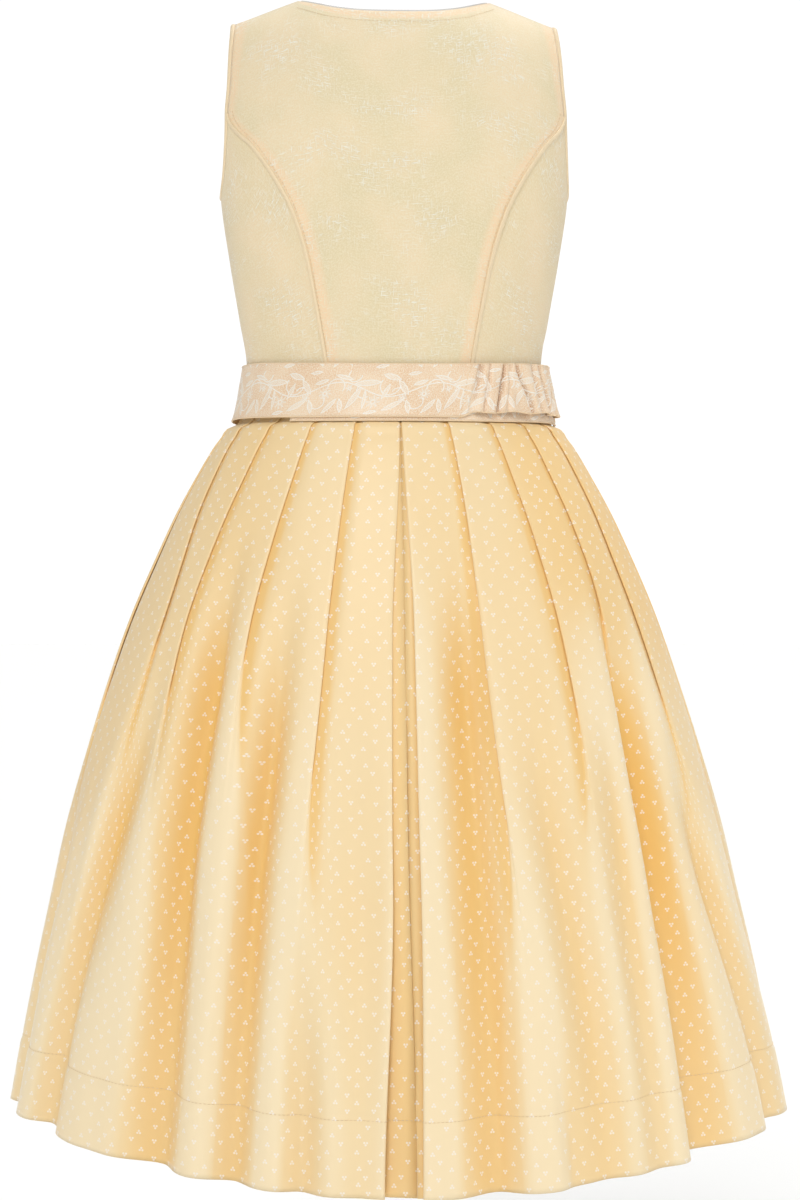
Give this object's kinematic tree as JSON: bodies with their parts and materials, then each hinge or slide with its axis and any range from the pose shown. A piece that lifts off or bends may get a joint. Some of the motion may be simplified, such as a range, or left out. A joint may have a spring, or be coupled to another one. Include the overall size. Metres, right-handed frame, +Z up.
{
  "type": "dirndl dress",
  "caption": "Sleeveless child's dirndl dress in its worn shape: fitted bodice, apron band with a gathered stretch, and a full pleated skirt.",
  "frame": {"origin": "midway between the two shoulder seams at the middle of their height, where the shoulders hold the dress up", "axes": "+Z up, -Y towards the back of the dress, which the picture shows, and +X towards the wearer's right"},
  "size_m": [0.5779, 0.4804, 0.8495],
  "materials": {
    "bodice_cloth": "slubbed plain weave with a soft sheen",
    "skirt_cloth": "smooth cotton with a satin sheen and a small dot print",
    "apron_cloth": "jacquard with a soft sheen",
    "trim": "matte cotton picot edging",
    "button": "pearly"
  },
  "bodies": {
    "root": {"back_centre": "bodice_cloth", "back_side_right": "bodice_cloth", "back_side_left": "bodice_cloth", "front_right": "bodice_cloth", "front_left": "bodice_cloth", "front_placket": "bodice_cloth", "back_piping_right": "bodice_cloth", "back_piping_left": "bodice_cloth", "armhole_binding_right": "bodice_cloth", "armhole_binding_left": "bodice_cloth", "neck_trim_back": "trim", "neck_trim_front": "trim", "button_1": "button", "button_2": "button", "button_3": "button", "button_4": "button", "button_5": "button", "skirt_back_right": "skirt_cloth", "skirt_back_left": "skirt_cloth", "skirt_front": "skirt_cloth", "band_back": "apron_cloth", "band_elastic": "apron_cloth", "band_front": "apron_cloth", "band_under": "apron_cloth", "apron": "apron_cloth"}
  },
  "joints": []
}
